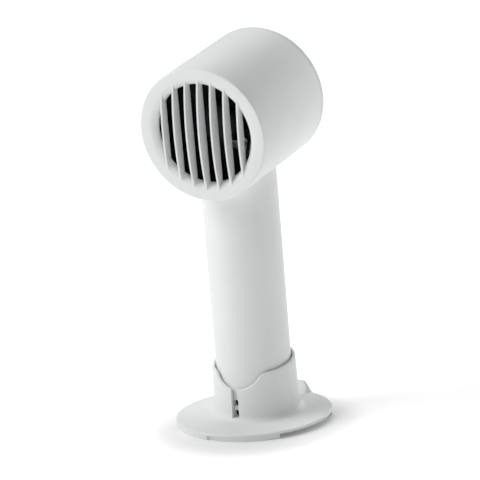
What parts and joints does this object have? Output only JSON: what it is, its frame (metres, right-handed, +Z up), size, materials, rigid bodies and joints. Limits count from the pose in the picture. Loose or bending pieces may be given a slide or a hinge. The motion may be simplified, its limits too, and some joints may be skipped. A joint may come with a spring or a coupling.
{
  "type": "handheld electric fan",
  "caption": "Battery fan with a round drum head and upright vanes on a straight grip, standing in a removable round desk stand with a slit collar.",
  "frame": {"origin": "centre of the stand's round plate, on the surface it stands on", "axes": "+Z up along the grip, -Y the way the fan blows, +X to the right when the fan is seen from behind"},
  "size_m": [0.0694, 0.0703, 0.1708],
  "materials": {
    "white_plastic": "satin moulded ABS, off-white",
    "button_plastic": "satin moulded ABS",
    "black_plastic": "matte moulded ABS, black",
    "blade_plastic": "satin moulded plastic, dark grey",
    "foot_rubber": "soft anti-slip pads, pale grey",
    "cell_wrap": "shrink-wrapped steel cell",
    "paper_washer": "insulating card",
    "nickel": "nickel strip",
    "board_green": "solder mask over glass laminate",
    "chip_black": "moulded epoxy",
    "lamp_body": "clear lamp bodies",
    "clear_plastic": "clear acrylic",
    "steel": "zinc-plated steel",
    "magnet": "ferrite arcs",
    "lamination": "electrical steel",
    "bronze": "sintered bronze and brass strip",
    "copper": "enamelled copper",
    "lead_red": "insulated wire, red",
    "lead_black": "insulated wire, black"
  },
  "bodies": {
    "stand": {"stand_base": "white_plastic", "stand_pads": "foot_rubber"},
    "fan": {"handle_shell": "white_plastic", "foot_cap": "black_plastic", "battery_cell": "cell_wrap", "battery_washer": "paper_washer", "battery_tab_low": "nickel", "battery_tab_high": "nickel", "battery_carrier": "black_plastic", "control_board": "board_green", "board_parts": "chip_black", "tact_switch": "chip_black", "indicator_lamps": "lamp_body", "light_pipe": "clear_plastic", "charge_port": "steel", "port_tongue": "chip_black", "board_screws": "steel", "head_shell": "white_plastic", "rear_grille": "white_plastic", "fan_duct": "black_plastic", "front_grille": "white_plastic", "motor_can": "steel", "motor_magnets": "magnet", "motor_bushes": "bronze", "motor_end_cap": "black_plastic", "motor_brushes": "bronze", "motor_terminals": "bronze", "motor_screws": "steel", "motor_lead_red": "lead_red", "motor_lead_black": "lead_black"},
    "rotor": {"impeller": "blade_plastic", "motor_shaft": "steel", "armature_core": "lamination", "armature_windings": "copper", "commutator": "copper"},
    "button": {"power_button": "button_plastic", "switch_plunger": "black_plastic"}
  },
  "joints": [
    {"name": "lift_off", "type": "slide", "parent": "stand", "child": "fan", "axis": [0, 0, 1], "range_m": [0, 0.06]},
    {"name": "fan_spin", "type": "hinge", "parent": "fan", "child": "rotor", "pos_m": [0, 0.0034, 0.1381], "axis": [0, 0.9947, 0.1028], "continuous": true},
    {"name": "power_press", "type": "slide", "parent": "fan", "child": "button", "axis": [0, -1, 0], "range_m": [0, 0.0005], "stiffness_N_per_m": 600}
  ]
}
